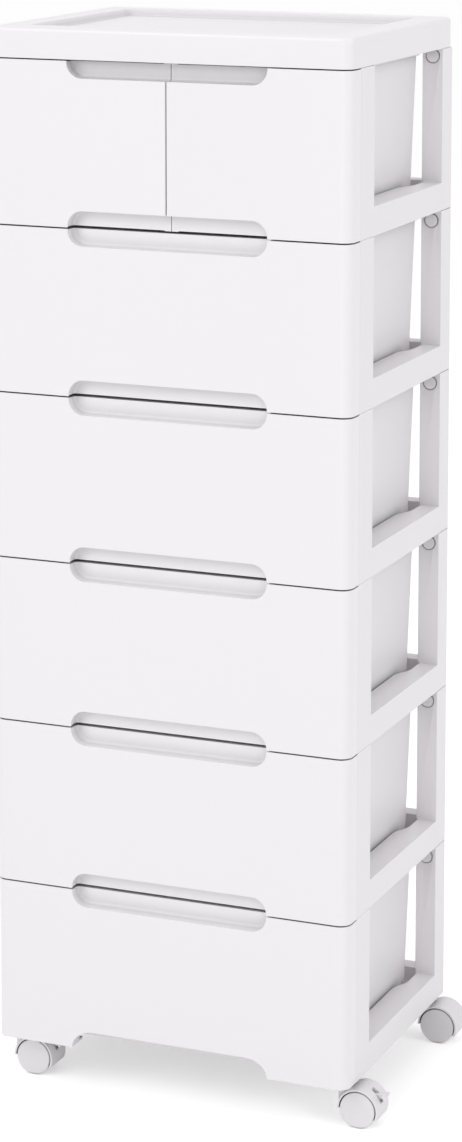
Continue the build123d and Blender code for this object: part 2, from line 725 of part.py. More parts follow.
# Small drawers, side by side.
small_foot = (guide_fin / 2 + tub_middle_gap, tub_side)
small_lean = (0.0, tub_side_draft)
small_clips = (small_foot[0] + clip_inset, small_foot[1] - clip_inset)
small_high = tier_pitch - cover_front_drop - front_gap
small_tub = drawer_tub(small_foot, small_lean, small_clips)
small_front = drawer_front((front_gap / 2, half), front_gap / 2, small_high,
                           (0, small_high + front_gap / 2), small_clips)
for side, frame_side in (("right", 1), ("left", -1)):
    tub, front = small_tub, small_front
    if frame_side < 0:
        tub, front = small_tub.mirror(Plane.YZ), small_front.mirror(Plane.YZ)
    save(tub, f"drawer_tub_1_{side}", z=tier_base(1))
    save(front, f"drawer_front_1_{side}", z=tier_base(1))

# Full-width drawers. The lowest front has the arch in place of a lower recess.
wide_foot = (-tub_side, tub_side)
wide_lean = (tub_side_draft, tub_side_draft)
wide_clips = (-tub_side + clip_inset, tub_side - clip_inset)
wide_high = tier_pitch - front_gap / 2
wide_tub = drawer_tub(wide_foot, wide_lean, wide_clips)
wide_front = drawer_front((-half, half), front_gap / 2, wide_high, (0, tier_pitch), wide_clips)
arched_front = drawer_front((-half, half), front_gap / 2, wide_high, (tier_pitch,), wide_clips,
                            arch=True)
for tier in range(2, tier_count + 1):
    save(wide_tub, f"drawer_tub_{tier}", z=tier_base(tier))
    save(arched_front if tier == tier_count else wide_front, f"drawer_front_{tier}",
         z=tier_base(tier))

# Casters. The two at the front have brake levers.
save(caster_stems(), "caster_stems")
axle, wheel, lever = caster_axle(), caster_wheel(), brake_lever()
for place_y, y, braked in (("front", caster_y[0], True), ("rear", caster_y[1], False)):
    hood = caster_hood(braked)
    for place_x, x in (("left", mid_x - caster_x), ("right", mid_x + caster_x)):
        corner = f"{place_y}_{place_x}"
        save(hood, f"caster_hood_{corner}", x=x, y=y)
        save(axle, f"caster_axle_{corner}", x=x, y=y)
        save(wheel, f"caster_wheel_outer_{corner}", x=x, y=y)
        save(wheel.mirror(Plane.XZ), f"caster_wheel_inner_{corner}", x=x, y=y)
        if braked:
            save(lever, f"brake_lever_{place_x}", x=x, y=y)

print("drawer travel", round(drawer_travel, 2), "middle plane", round(mid_x, 2))
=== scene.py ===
"""White plastic drawer tower on casters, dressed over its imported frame.

Sizes of pieces are in millimetres, and MM turns them to metres. Every piece stays in the place
that the frame gives it, so the drawers, casters, wheels and levers move with their bodies.
"""
import json
import logging
import math
from dataclasses import dataclass, field
from enum import Enum
from typing import Callable, Iterable, Sequence

import bmesh
import bpy
from mathutils import Matrix, Vector

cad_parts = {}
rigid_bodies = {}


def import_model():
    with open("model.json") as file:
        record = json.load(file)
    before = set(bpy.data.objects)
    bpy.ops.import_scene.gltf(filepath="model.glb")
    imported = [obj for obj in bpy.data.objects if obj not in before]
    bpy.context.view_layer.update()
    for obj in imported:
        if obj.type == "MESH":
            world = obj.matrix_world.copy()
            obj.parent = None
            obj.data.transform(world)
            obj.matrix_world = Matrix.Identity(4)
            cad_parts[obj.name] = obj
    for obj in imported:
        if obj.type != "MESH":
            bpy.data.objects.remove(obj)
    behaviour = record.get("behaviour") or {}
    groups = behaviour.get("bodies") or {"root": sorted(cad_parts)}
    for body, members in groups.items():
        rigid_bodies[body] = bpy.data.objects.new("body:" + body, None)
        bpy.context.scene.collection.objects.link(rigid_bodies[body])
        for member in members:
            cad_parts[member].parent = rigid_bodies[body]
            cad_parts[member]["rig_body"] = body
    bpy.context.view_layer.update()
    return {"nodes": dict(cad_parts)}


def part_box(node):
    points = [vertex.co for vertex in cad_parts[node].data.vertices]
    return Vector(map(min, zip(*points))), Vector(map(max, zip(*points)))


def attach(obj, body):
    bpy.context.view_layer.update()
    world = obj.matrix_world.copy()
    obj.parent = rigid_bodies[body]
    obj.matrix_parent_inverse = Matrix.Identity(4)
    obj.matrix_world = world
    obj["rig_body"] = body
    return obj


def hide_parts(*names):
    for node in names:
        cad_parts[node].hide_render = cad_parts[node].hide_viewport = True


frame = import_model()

LOG = logging.getLogger("drawer_tower")
MM = 0.001
TOUCH = 1e-6                      # metres; points nearer than this are one
LEVEL_MM = 0.01                   # heights nearer than this are the same
SHARP = math.radians(38)          # edges that turn further than this are edges, not curves
FLAT = math.radians(0.6)          # faces that turn less than this are one flat face
PARALLEL = 0.999                  # cosine of the angle up to which an edge runs along an axis
LEVER_EDGE_MM = 0.3               # rounding of the brake levers' edges


class Side(Enum):
    """Which side of the tower a piece stands on, seen from the front."""

    LEFT = "left"
    RIGHT = "right"


class Axis(Enum):
    """An axis of the frame, by its place in a vector."""

    X = 0
    Y = 1
    Z = 2


# ---- finishes ------------------------------------------------------------------------------
def linear_colour(hex_colour: str) -> tuple[float, float, float, float]:
    """Turns a written sRGB colour into the linear one that shaders take.

    Args:
        hex_colour: Six hexadecimal digits, with or without a leading hash.

    Returns:
        Linear red, green and blue, and an alpha of 1.
    """
    digits = hex_colour.lstrip("#")
    parts = [int(digits[i:i + 2], 16) / 255 for i in (0, 2, 4)]
    linear = [c / 12.92 if c <= 0.04045 else ((c + 0.055) / 1.055) ** 2.4 for c in parts]
    return (linear[0], linear[1], linear[2], 1.0)


def add_node(tree: bpy.types.NodeTree, kind: str, settings: dict[str, object] | None = None,
             values: dict[str | int, object] | None = None,
             links: dict[str | int, bpy.types.NodeSocket] | None = None) -> bpy.types.Node:
    """Adds a shader node with its settings, socket values and incoming links.

    Args:
        tree: The material's or world's node tree.
        kind: The node's type name.
        settings: Attributes of the node.
        values: Values of its inputs, by socket name or place.
        links: Outputs that feed its inputs, by socket name or place.

    Returns:
        The new node.
    """
    node = tree.nodes.new(kind)
    for name, value in (settings or {}).items():
        setattr(node, name, value)
    for name, value in (values or {}).items():
        node.inputs[name].default_value = value
    for name, source in (links or {}).items():
        tree.links.new(source, node.inputs[name])
    return node


# Places of the colour sockets on a Mix node.
MIX_A, MIX_B, MIX_RESULT = 6, 7, 2


@dataclass(frozen=True)
class MouldedPlastic:
    """Injection-moulded plastic: even colour, soft gloss and the faint grain of its mould.

    Its colour carries painted shade: an ambient-occlusion node darkens it in hollows and inner
    corners, down to the second colour where other surfaces close in.
    """

    name: str
    colour: str
    # colour of the painted shade in hollows and inner corners
    painted_shade_colour: str
    roughness: float
    ior: float
    grain_mm: float
    grain_depth_mm: float
    # how far the painted shade reaches, and its samples
    painted_shade_reach_mm: float = 14.0
    painted_shade_samples: int = 6

    def make(self) -> bpy.types.Material:
        """Builds the material.

        Returns:
            A node material whose grain reads object coordinates and whose base colour carries
            painted shade in hollows.
        """
        material = bpy.data.materials.new(self.name)
        material.use_nodes = True
        tree = material.node_tree
        shader = tree.nodes["Principled BSDF"]
        shader.inputs["Roughness"].default_value = self.roughness
        shader.inputs["IOR"].default_value = self.ior
        # Painted shade: ambient occlusion mixes the base colour towards the shade colour in
        # hollows.
        unshaded_share = add_node(tree, "ShaderNodeAmbientOcclusion",
                              {"samples": self.painted_shade_samples},
                              {"Distance": self.painted_shade_reach_mm * MM})
        shade_tones = {MIX_A: linear_colour(self.painted_shade_colour), MIX_B: linear_colour(self.colour)}
        painted_shade_tone = add_node(tree, "ShaderNodeMix", {"data_type": "RGBA"}, shade_tones,
                        {"Factor": unshaded_share.outputs["AO"]})
        tree.links.new(painted_shade_tone.outputs[MIX_RESULT], shader.inputs["Base Color"])
        place = add_node(tree, "ShaderNodeTexCoord")
        grain = add_node(tree, "ShaderNodeTexNoise",
                         values={"Scale": 1 / (self.grain_mm * MM), "Detail": 2.0},
                         links={"Vector": place.outputs["Object"]})
        bump = add_node(tree, "ShaderNodeBump",
                        values={"Strength": 1.0, "Distance": self.grain_depth_mm * MM},
                        links={"Height": grain.outputs["Fac"]})
        tree.links.new(bump.outputs["Normal"], shader.inputs["Normal"])
        return material


@dataclass(frozen=True)
class PlatedSteel:
    """Zinc-plated steel wire, drawn and barrel-plated, so it is bright but not a mirror."""

    name: str = "zinc-plated steel"
    colour: str = "#B9BCC2"
    roughness: float = 0.34

    def make(self) -> bpy.types.Material:
        """Builds the material.

        Returns:
            A metal with the plating's even, slightly blurred shine.
        """
        material = bpy.data.materials.new(self.name)
        material.use_nodes = True
        shader = material.node_tree.nodes["Principled BSDF"]
        shader.inputs["Base Color"].default_value = linear_colour(self.colour)
        shader.inputs["Metallic"].default_value = 1.0
        shader.inputs["Roughness"].default_value = self.roughness
        return material


# Impact-modified polystyrene, moulded in a polished tool: a cool white with a soft gloss. On all
# the mouldings the tool's texture is finer than shows here, so its grain is drawn as coarse as it
# has to be to break up the gloss.
# On each moulding the third colour is painted shade, which hollows and inner corners are darkened
# to.
GLOSS_FRONT = MouldedPlastic("gloss polystyrene", "#F3F0F3", "#C2C0C2", 0.34, 1.59, 1.6, 0.004)
# The same plastic on the cover, with a darker, shorter-reaching painted shade along its tray's
# walls.
GLOSS_COVER = MouldedPlastic("gloss polystyrene cover", "#F2EFF2", "#A3A1A3", 0.34, 1.59, 1.6,
                             0.004, painted_shade_reach_mm=8.0)
# Polypropylene, moulded: the same white, a little duller, as on its frames and rails.
SATIN_FRAME = MouldedPlastic("satin polypropylene", "#F1EEF1", "#DAD8DA", 0.42, 1.49, 1.6, 0.006)
# Thin-walled polypropylene, faintly milky where light falls into the tub; its hollows carry painted
# shade.
MILKY_TUB = MouldedPlastic("milky polypropylene", "#EEEBEE", "#A4A2A4", 0.38, 1.49, 1.6, 0.006,
                            painted_shade_reach_mm=10.0)
# Nylon, moulded: greyer and duller, as wheels and their hoods are; both carry dark painted shade in
# narrow gaps.
NYLON_HOOD = MouldedPlastic("nylon hood", "#EDEAED", "#888688", 0.48, 1.53, 1.2, 0.010,
                            painted_shade_reach_mm=4.0)
NYLON_WHEEL = MouldedPlastic("nylon wheel", "#EBE8EB", "#6E6C6E", 0.50, 1.53, 1.2, 0.010,
                             painted_shade_reach_mm=3.0)
# Acetal, moulded: smooth and even, and a shade greyer than the posts that it sits in.
BUTTON_CAP = MouldedPlastic("acetal button", "#EEEBEE", "#A09EA0", 0.40, 1.48, 1.2, 0.005)
PLATED_STEEL = PlatedSteel()


# ---- meshes --------------------------------------------------------------------------------
def finish_piece(name: str, mesh: bpy.types.Mesh, material: bpy.types.Material,
                 nodes: Sequence[str]) -> bpy.types.Object:
    """Makes an object that stands for CAD nodes and moves with their body.

    Args:
        name: Name of the new piece.
        mesh: Its mesh, in the frame's own place.
        material: Its finish.
        nodes: The CAD nodes that it stands for, all on one body.

    Returns:
        The linked object.
    """
    piece = bpy.data.objects.new(name, mesh)
    bpy.context.scene.collection.objects.link(piece)
    mesh.materials.clear()
    mesh.materials.append(material)
    mesh.shade_smooth()
    mesh.set_sharp_from_angle(angle=SHARP)
    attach(piece, frame["nodes"][nodes[0]]["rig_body"])
    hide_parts(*nodes)
    LOG.info("%s stands for %s", name, ", ".join(nodes))
    return piece


def soften(piece: bpy.types.Object, width_mm: float, segments: int = 2,
           clamp: bool = True) -> None:
    """Rounds the sharp edges of a finished piece, as a moulding's are.

    Args:
        piece: The piece.
        width_mm: How far the rounding reaches from an edge.
        segments: Facets across the rounding.
        clamp: True if the width shrinks where edges lie close together.
    """
    bevel = piece.modifiers.new("moulded edges", "BEVEL")
    bevel.width = width_mm * MM
    bevel.segments = segments
    bevel.limit_method = "ANGLE"
    bevel.angle_limit = SHARP
    bevel.harden_normals = True
    bevel.use_clamp_overlap = clamp


def block(bm: bmesh.types.BMesh, low: Sequence[float], high: Sequence[float]) -> list:
    """Adds a block between two corners.

    Args:
        bm: The mesh that is being built.
        low: Lowest corner, in millimetres.
        high: Highest corner, in millimetres.

    Returns:
        The block's vertices.
    """
    size = [b - a for a, b in zip(low, high)]
    middle = [(a + b) / 2 for a, b in zip(low, high)]
    made = bmesh.ops.create_cube(bm, size=1.0)["verts"]
    bmesh.ops.scale(bm, vec=Vector(size) * MM, verts=made)
    bmesh.ops.translate(bm, vec=Vector(middle) * MM, verts=made)
    return made


def round_edges(bm: bmesh.types.BMesh, chosen: Callable[[bmesh.types.BMEdge], bool],
                radius_mm: float, segments: int) -> None:
    """Rounds the edges that a test picks.

    Args:
        bm: The mesh that is being built.
        chosen: Says whether an edge is rounded.
        radius_mm: Radius of the rounding.
        segments: Facets across it.
    """
    edges = [edge for edge in bm.edges if chosen(edge)]
    bmesh.ops.bevel(bm, geom=edges, offset=radius_mm * MM, offset_type="OFFSET",
                    segments=segments, profile=0.5, affect="EDGES", material=-1,
                    clamp_overlap=False)


def runs_along(edge: bmesh.types.BMEdge, axis: Axis) -> bool:
    """Says whether an edge is parallel to an axis."""
    way = (edge.verts[1].co - edge.verts[0].co).normalized()
    return abs(way[axis.value]) > PARALLEL


def lies_at(edge: bmesh.types.BMEdge, axis: Axis, place_mm: float) -> bool:
    """Says whether both ends of an edge are at a place along an axis."""
    return all(abs(v.co[axis.value] - place_mm * MM) < TOUCH for v in edge.verts)


def as_mesh(bm: bmesh.types.BMesh, name: str) -> bpy.types.Mesh:
    """Writes a finished bmesh into a new mesh and frees it."""
    bmesh.ops.recalc_face_normals(bm, faces=bm.faces)
    mesh = bpy.data.meshes.new(name)
    bm.to_mesh(mesh)
    bm.free()
    return mesh


def carve(mesh: bpy.types.Mesh, tools: Iterable[bpy.types.Mesh],
          operation: str = "DIFFERENCE") -> bpy.types.Mesh:
    """Cuts closed forms out of a closed mesh, or joins them to it.

    Args:
        mesh: The mesh that is cut.
        tools: The closed forms, one after another.
        operation: Blender's name for the boolean operation.

    Returns:
        A new mesh with the result.
    """
    body = bpy.data.objects.new("carved", mesh)
    bpy.context.scene.collection.objects.link(body)
    helpers = []
    for tool in tools:
        helper = bpy.data.objects.new("tool", tool)
        bpy.context.scene.collection.objects.link(helper)
        helpers.append(helper)
        cut = body.modifiers.new("carve", "BOOLEAN")
        cut.operation, cut.solver, cut.object = operation, "EXACT", helper
        cut.use_self = operation == "UNION"
    bpy.context.view_layer.update()
    graph = bpy.context.evaluated_depsgraph_get()
    result = bpy.data.meshes.new_from_object(body.evaluated_get(graph))
    for helper in [body, *helpers]:
        bpy.data.objects.remove(helper)
    bm = bmesh.new()
    bm.from_mesh(result)
    bmesh.ops.remove_doubles(bm, verts=bm.verts, dist=TOUCH)
    bm.to_mesh(result)
    bm.free()
    return result


def box_mm(node: str) -> tuple[Vector, Vector]:
    """Lowest and highest corner of a CAD node, in millimetres."""
    low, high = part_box(node)
    return low / MM, high / MM


# ---- the fronts ----------------------------------------------------------------------------
@dataclass
class DrawerFront:
    """Hollow front with rounded sides and its halves of the shared finger recesses."""

    node: str
    slot: str = "front_plastic"
    depth: float = 25.0           # to a hairline before the posts
    wall: float = 2.4
    side_radius: float = 12.0     # of the upright edges at the tower's sides
    inner_side_radius: float = 1.5
    least_radius: float = 0.5     # edges of the hollow that would be rounded less stay sharp
    corner_steps: int = 8         # facets across a rounding
    edge_width: float = 0.8
    edge_steps: int = 3
    seam_gap: float = 1.5
    seam_trim: float = 0.15       # what the seam takes from the upper and the lower edge
    recess_width: float = 210.0
    recess_height: float = 35.0
    recess_depth: float = 13.5
    recess_corner: float = 16.0
    recess_floor: float = 3.0     # rounding between its wall and its floor
    recess_floor_steps: int = 6
    arch_width: float = 212.0
    arch_rise: float = 19.2
    arch_corner: float = 24.0     # along X; upright it is nearly as high as the arch
    arch_steps: int = 10
    has_arch: bool = False
    clip_width: float = 12.0
    clip_height: float = 3.0
    clip_reach: float = 4.0
    clip_inset: float = 27.0
    clip_heights: tuple[float, float] = (51.4, 117.4)
    tub_draft: float = 4.8        # how far a tub narrows at each side, from its rim to its foot
    tub_rim: float = 2.8          # how far its rim stands out
    relief: float = 0.7           # what the walls stand back along a seam
    relief_start: float = 1.6     # from the face
    relief_ends: float = 7.0      # from the front's ends, where its edge is rounded
    middle_fill: float = 0.25     # narrows the upright line between the two small fronts

    def __post_init__(self) -> None:
        """Takes the outline and the tower's middle from the frame."""
        self.low, self.high = box_mm(self.node)
        wide_low, wide_high = box_mm("drawer_front_2")
        self.half = (wide_high.x - wide_low.x) / 2
        self.middle = (wide_high.x + wide_low.x) / 2
        self.face = self.low.y
        self.low.z += self.seam_trim
        self.high.z -= self.seam_trim
        if self.low.x > self.middle:
            self.low.x -= self.middle_fill
        if self.high.x < self.middle:
            self.high.x += self.middle_fill

    def side_wall_radius(self, x: float) -> float:
        """Radius of a front's upright edge: large at the tower's sides, small in its middle."""
        at_side = abs(abs(x - self.middle) - self.half) < self.side_radius
        return self.side_radius if at_side else self.inner_side_radius

    def shell(self, inset: float, back: float) -> bpy.types.Mesh:
        """The outside of the front, or its hollow.

        Args:
            inset: How far it is drawn in from the outside.
            back: Its rear end along Y.

        Returns:
            A closed block with rounded upright edges at the front.
        """
        bm = bmesh.new()
        low = (self.low.x + inset, self.face + inset, self.low.z + inset)
        block(bm, low, (self.high.x - inset, back, self.high.z - inset))
        for x in (low[0], self.high.x - inset):
            radius = self.side_wall_radius(x) - inset
            if radius > self.least_radius:
                round_edges(bm, lambda e, x=x: runs_along(e, Axis.Z) and lies_at(e, Axis.X, x)
                            and lies_at(e, Axis.Y, low[1]), radius, self.corner_steps)
        return as_mesh(bm, f"{self.node} shell")

    def recess(self, seam: float, grow: float) -> bpy.types.Mesh:
        """The finger recess as a closed form about its seam.

        Args:
            seam: Height of the seam that it is centred on.
            grow: How far it is grown all round.

        Returns:
            A block with rounded corners and a rounded floor.
        """
        bm = bmesh.new()
        reach, rise = self.recess_width / 2 + grow, self.recess_height / 2 + grow
        floor = self.face + self.recess_depth + grow
        block(bm, (self.middle - reach, self.face - self.side_radius, seam - rise),
              (self.middle + reach, floor, seam + rise))
        round_edges(bm, lambda e: runs_along(e, Axis.Y), self.recess_corner + grow,
                    self.corner_steps)
        round_edges(bm, lambda e: lies_at(e, Axis.Y, floor), self.recess_floor + grow,
                    self.recess_floor_steps)
        return as_mesh(bm, f"{self.node} recess")

    def seam_relief(self, seam: float) -> bpy.types.Mesh:
        """What the walls at a seam stand back behind the face, so that the drawers never rub.

        Args:
            seam: Height of the seam.

        Returns:
            A thin block across the front.
        """
        bm = bmesh.new()
        rise = self.seam_gap / 2 + self.relief
        block(bm, (self.low.x + self.relief_ends, self.face + self.relief_start, seam - rise),
              (self.high.x - self.relief_ends, self.face + self.depth + self.wall, seam + rise))
        return as_mesh(bm, f"{self.node} relief")

    def arch(self, grow: float, back: float) -> bpy.types.Mesh:
        """The opening under the lowest front as a closed form.

        Args:
            grow: How far it is grown all round.
            back: Its rear end along Y.

        Returns:
            A block with corners rounded in the form of a quarter ellipse.
        """
        bm = bmesh.new()
        base = self.low.z - self.seam_gap / 2
        reach, corner = self.arch_width / 2 + grow, self.arch_corner + grow
        half = corner + self.wall / 2
        block(bm, (self.middle - reach, self.face - self.side_radius, base - half),
              (self.middle + reach, back, base + half))
        round_edges(bm, lambda e: runs_along(e, Axis.Y), corner, self.arch_steps)
        for vertex in bm.verts:
            height = vertex.co.z / MM - base
            vertex.co.z = (base + height * (self.arch_rise + grow) / half) * MM
        return as_mesh(bm, f"{self.node} arch")

    def clips(self) -> bpy.types.Mesh:
        """The hooks that hold the tub, each from the back of the face into the tub.

        Returns:
            One closed block for each hook.
        """
        bm = bmesh.new()
        tub_low, _ = box_mm(self.node.replace("front", "tub"))
        tub_ends = self.tub_ends()
        for x in (tub_ends[0] + self.clip_inset, tub_ends[1] - self.clip_inset):
            for height in self.clip_heights:
                z = self.low.z + height
                block(bm, (x - self.clip_width / 2, self.face + self.wall / 2, z),
                      (x + self.clip_width / 2, tub_low.y + self.clip_reach,
                       z + self.clip_height))
        return as_mesh(bm, f"{self.node} clips")

    def tub_ends(self) -> tuple[float, float]:
        """Ends of the tub's foot along X."""
        low, high = box_mm(self.node.replace("front", "tub"))
        lean = self.tub_draft + self.tub_rim
        return low.x + lean, high.x - lean

    def build(self, material: bpy.types.Material) -> bpy.types.Object:
        """Builds and places the front.

        Args:
            material: Its finish.

        Returns:
            The finished piece.
        """
        seams = [self.high.z + self.seam_gap / 2]
        if not self.has_arch:
            seams.append(self.low.z - self.seam_gap / 2)
        back = self.face + self.depth
        lining = [self.recess(seam, self.wall) for seam in seams]
        cuts = [self.recess(seam, 0.0) for seam in seams]
        cuts += [self.seam_relief(seam) for seam in seams]
        if self.has_arch:
            lining.append(self.arch(self.wall, self.face + self.recess_depth + self.wall))
            cuts.append(self.arch(0.0, back + self.side_radius))
        hollow = carve(self.shell(self.wall, back + self.side_radius), lining)
        mesh = carve(self.shell(0.0, back), [*cuts, hollow])
        mesh = carve(mesh, [self.clips()], "UNION")
        piece = finish_piece(f"{self.node}_moulding", mesh, material, [self.node])
        soften(piece, self.edge_width, self.edge_steps)
        return piece


# ---- the cover -----------------------------------------------------------------------------
@dataclass
class TopCover:
    """Cover with a raised border round a shallow tray, hollow below."""

    node: str = "top_cover"
    slot: str = "cover_plastic"
    height: float = 27.5
    drop: float = 2.4             # how far it reaches below the tops of the posts
    wall: float = 2.5
    corner_radius: float = 12.0
    corner_steps: int = 8         # facets across a rounding
    edge_radius: float = 3.5
    edge_steps: int = 5
    fine_edge: float = 0.8        # rounding of every other edge
    rim: float = 31.0
    tray_depth: float = 7.0
    tray_corner: float = 7.0
    tray_floor: float = 2.0       # rounding between its wall and its floor
    tray_floor_steps: int = 4
    foot_width: float = 21.6
    foot_rise: float = 0.1        # of the feet above the lower edge, and of the lips above them
    front_foot: tuple[float, float] = (25.3, 62.6)
    rear_foot: tuple[float, float] = (259.4, 292.0)
    lip_reach: float = 24.0       # lips along the lower edges of its sides
    lip_thickness: float = 2.0
    relief: float = 0.7           # what its front wall stands back above the seam
    relief_start: float = 1.2     # from the face
    relief_ends: float = 15.0     # from the cover's ends

    def plate(self, low: Sequence[float], high: Sequence[float],
              corner: float) -> bmesh.types.BMesh:
        """A block with rounded upright edges.

        Args:
            low: Lowest corner.
            high: Highest corner.
            corner: Radius of its upright edges.

        Returns:
            The open bmesh.
        """
        bm = bmesh.new()
        block(bm, low, high)
        round_edges(bm, lambda e: runs_along(e, Axis.Z), corner, self.corner_steps)
        return bm

    def build(self, material: bpy.types.Material) -> bpy.types.Object:
        """Builds and places the cover.

        Args:
            material: Its finish.

        Returns:
            The finished piece.
        """
        low, high = box_mm(self.node)
        top, base = high.z, high.z - self.height
        foot = base - self.drop
        body = self.plate((low.x, low.y, foot), high, self.corner_radius)
        round_edges(body, lambda e: lies_at(e, Axis.Z, top), self.edge_radius, self.edge_steps)
        tray = self.plate((low.x + self.rim, low.y + self.rim, top - self.tray_depth),
                          (high.x - self.rim, high.y - self.rim, top + self.wall),
                          self.tray_corner)
        round_edges(tray, lambda e: lies_at(e, Axis.Z, top - self.tray_depth), self.tray_floor,
                    self.tray_floor_steps)
        inside = self.plate((low.x + self.wall, low.y + self.wall, foot - self.wall),
                            (high.x - self.wall, high.y - self.wall,
                             top - self.tray_depth - self.wall), self.corner_radius - self.wall)
        feet, lips = bmesh.new(), bmesh.new()
        for ends in (self.front_foot, self.rear_foot):
            for x in (low.x + self.wall / 2, high.x - self.foot_width):
                block(feet, (x, low.y + ends[0], foot + self.foot_rise),
                      (x + self.foot_width - self.wall / 2, low.y + ends[1] - self.wall / 2,
                       top - self.tray_depth - self.wall / 2))
        for x in (low.x + self.wall / 2, high.x - self.wall / 2):
            round_edges(feet, lambda e, x=x: runs_along(e, Axis.Z) and lies_at(e, Axis.X, x)
                        and lies_at(e, Axis.Y, high.y - self.wall / 2),
                        self.corner_radius - self.wall / 2, self.corner_steps)
        for x in (low.x + self.wall / 2, high.x - self.wall / 2 - self.lip_reach):
            block(lips, (x, low.y + self.front_foot[1] - self.wall, foot + 2 * self.foot_rise),
                  (x + self.lip_reach, low.y + self.rear_foot[0] + self.wall,
                   foot + self.lip_thickness))
        relief = bmesh.new()
        block(relief, (low.x + self.relief_ends, low.y + self.relief_start, foot - self.relief),
              (high.x - self.relief_ends, low.y + 2 * self.wall, foot + self.relief))
        mesh = carve(as_mesh(body, "cover"), [as_mesh(tray, "tray"), as_mesh(inside, "inside"),
                                              as_mesh(relief, "relief")])
        mesh = carve(mesh, [as_mesh(feet, "feet"), as_mesh(lips, "lips")], "UNION")
        piece = finish_piece(f"{self.node}_moulding", mesh, material, [self.node])
        soften(piece, self.fine_edge)
        return piece


# ---- casters -------------------------------------------------------------------------------
@dataclass
class TwinWheelCaster:
    """One caster: two wheels under a hood. Its pin and, in front, its foot lever are dressed in
    main.
    """

    corner: str
    radius: float = 18.5
    edge_radius: float = 1.6
    edge_steps: int = 6
    dish: float = 0.25            # how far the middle of a disc is sunk
    bore_radius: float = 2.55
    bore_cap: float = 2.4         # what closes the bore outside
    steps: int = 56
    hood_edge: float = 0.5

    def wheel_profile(self, outer: float, inner: float) -> list[tuple[float, float]]:
        """Half section of a wheel.

        Args:
            outer: Place of its outer face along Y.
            inner: Place of its inner face along Y.

        Returns:
            Radius and place along Y of each point, from the middle of the outer face round to
            the end of the bore.
        """
        way = 1 if inner > outer else -1
        arc = [(self.radius - self.edge_radius * (1 - math.sin(turn)),
                outer + way * self.edge_radius * (1 - math.cos(turn)))
               for turn in (math.radians(90 * i / self.edge_steps)
                            for i in range(self.edge_steps + 1))]
        return [(0.0, outer + way * self.dish), (self.radius / 2, outer + way * self.dish / 2),
                *arc, (self.radius, inner - way * self.edge_radius / 2),
                (self.radius - self.edge_radius / 2, inner), (self.bore_radius, inner),
                (self.bore_radius, outer + way * self.bore_cap), (0.0, outer + way * self.bore_cap)]

    def wheel(self, node: str, material: bpy.types.Material, outside: bool) -> bpy.types.Object:
        """Turns one wheel.

        Args:
            node: The CAD node that it stands for.
            material: Its finish.
            outside: True if its closed face looks towards -Y.

        Returns:
            The finished piece.
        """
        low, high = box_mm(node)
        outer, inner = (low.y, high.y) if outside else (high.y, low.y)
        axle = Vector(((low.x + high.x) / 2, 0.0, (low.z + high.z) / 2)) * MM
        bm = bmesh.new()
        points = [bm.verts.new(axle + Vector((0.0, y, r)) * MM)
                  for r, y in self.wheel_profile(outer, inner)]
        edges = [bm.edges.new(pair) for pair in zip(points, points[1:])]
        bmesh.ops.spin(bm, geom=[*points, *edges], cent=axle, axis=(0, 1, 0),
                       angle=math.tau, steps=self.steps, use_merge=True)
        bmesh.ops.remove_doubles(bm, verts=bm.verts, dist=TOUCH)
        mesh = as_mesh(bm, node)
        return finish_piece(f"{node}_turned", mesh, material, [node])

    def build(self, hood: bpy.types.Material, wheel: bpy.types.Material) -> None:
        """Builds the wheels and softens the hood.

        Args:
            hood: Finish of the hood.
            wheel: Finish of the wheels.
        """
        self.wheel(f"caster_wheel_outer_{self.corner}", wheel, outside=True)
        self.wheel(f"caster_wheel_inner_{self.corner}", wheel, outside=False)
        softened_copy(f"caster_hood_{self.corner}", hood, self.hood_edge)


def merged_copy(node: str) -> bpy.types.Mesh:
    """A copy of a CAD node's mesh, with its loose triangles joined into flat faces."""
    bm = bmesh.new()
    bm.from_mesh(frame["nodes"][node].data)
    bmesh.ops.remove_doubles(bm, verts=bm.verts, dist=TOUCH)
    bmesh.ops.dissolve_limit(bm, angle_limit=FLAT, verts=bm.verts, edges=bm.edges)
    mesh = bpy.data.meshes.new(f"{node} merged")
    bm.to_mesh(mesh)
    bm.free()
    return mesh


def softened_copy(node: str, material: bpy.types.Material,
                  width_mm: float) -> bpy.types.Object:
    """Copies a CAD node and rounds its edges.

    Args:
        node: The CAD node.
        material: Its finish.
        width_mm: How far the rounding reaches from an edge.

    Returns:
        The finished piece.
    """
    piece = finish_piece(f"{node}_moulding", merged_copy(node), material, [node])
    soften(piece, width_mm)
    return piece


